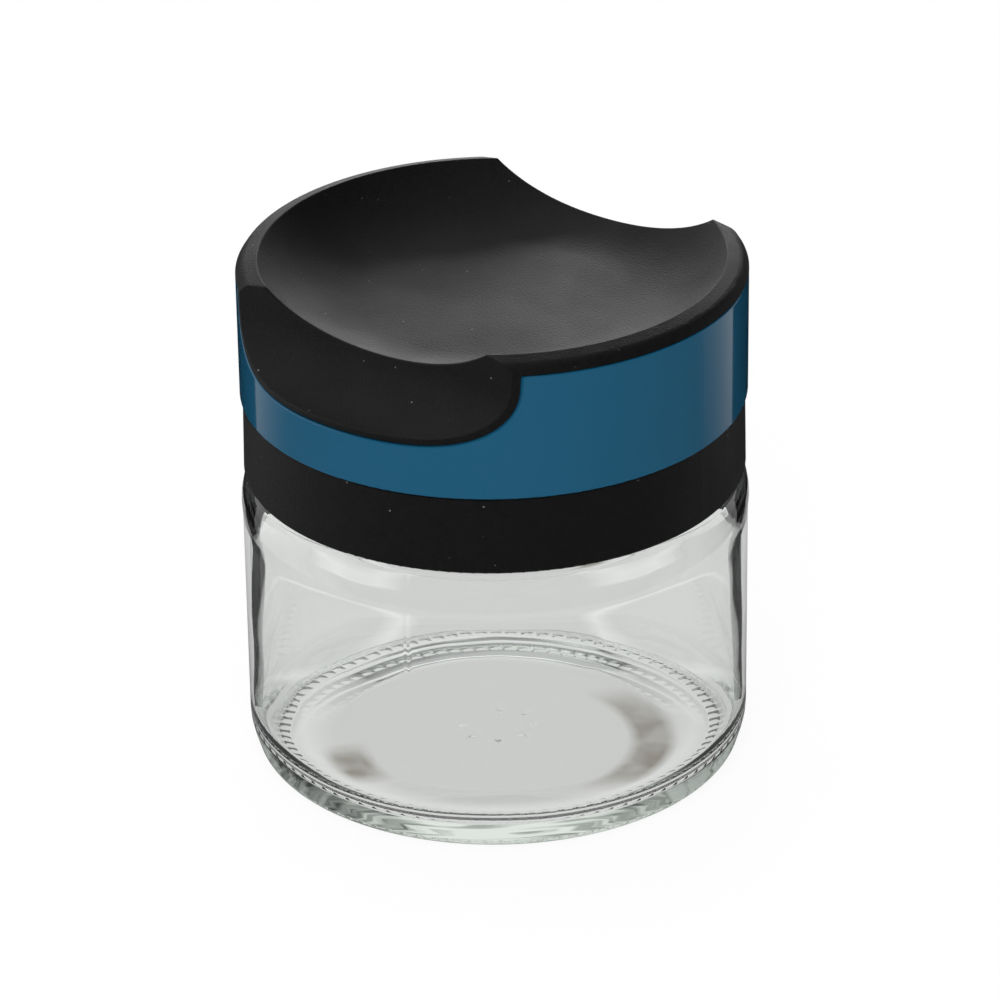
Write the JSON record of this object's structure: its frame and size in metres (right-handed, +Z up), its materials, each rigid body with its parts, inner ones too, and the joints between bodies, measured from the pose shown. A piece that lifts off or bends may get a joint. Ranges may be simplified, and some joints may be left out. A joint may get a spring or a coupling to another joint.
{
  "type": "spice jar",
  "caption": "Round clear glass spice jar with a black screw lid that carries a gloss colour band and a dished top with finger grooves for turning and stacking.",
  "frame": {"origin": "centre of the circle that the jar stands on, on the surface that it stands on", "axes": "+Z up along the axis of jar and lid; +Y and -Y are the middles of the lid's finger grooves"},
  "size_m": [0.0706, 0.0706, 0.0738],
  "materials": {
    "clear_glass": "clear moulded soda-lime glass with a faint green tint",
    "seal_rubber": "soft matte silicone",
    "black_plastic": "fine matte moulded texture",
    "blue_plastic": "polished deep blue"
  },
  "bodies": {
    "jar": {"glass_jar": "clear_glass"},
    "seal": {"seal_ring": "seal_rubber"},
    "lid": {"screw_cap": "black_plastic", "colour_band": "blue_plastic", "top_shell": "black_plastic"}
  },
  "joints": [
    {"name": "lid_lift", "type": "slide", "parent": "jar", "child": "seal", "axis": [0, 0, 1], "range_m": [0, 0.0151]},
    {"name": "lid_turn", "type": "hinge", "parent": "seal", "child": "lid", "pos_m": [0, 0, 0.0561], "axis": [0, 0, 1], "range_deg": [0, 1080]}
  ],
  "couplings": [
    {"joint": "lid_lift", "follows": "lid_turn", "m_per_rad": 0.00079577}
  ]
}
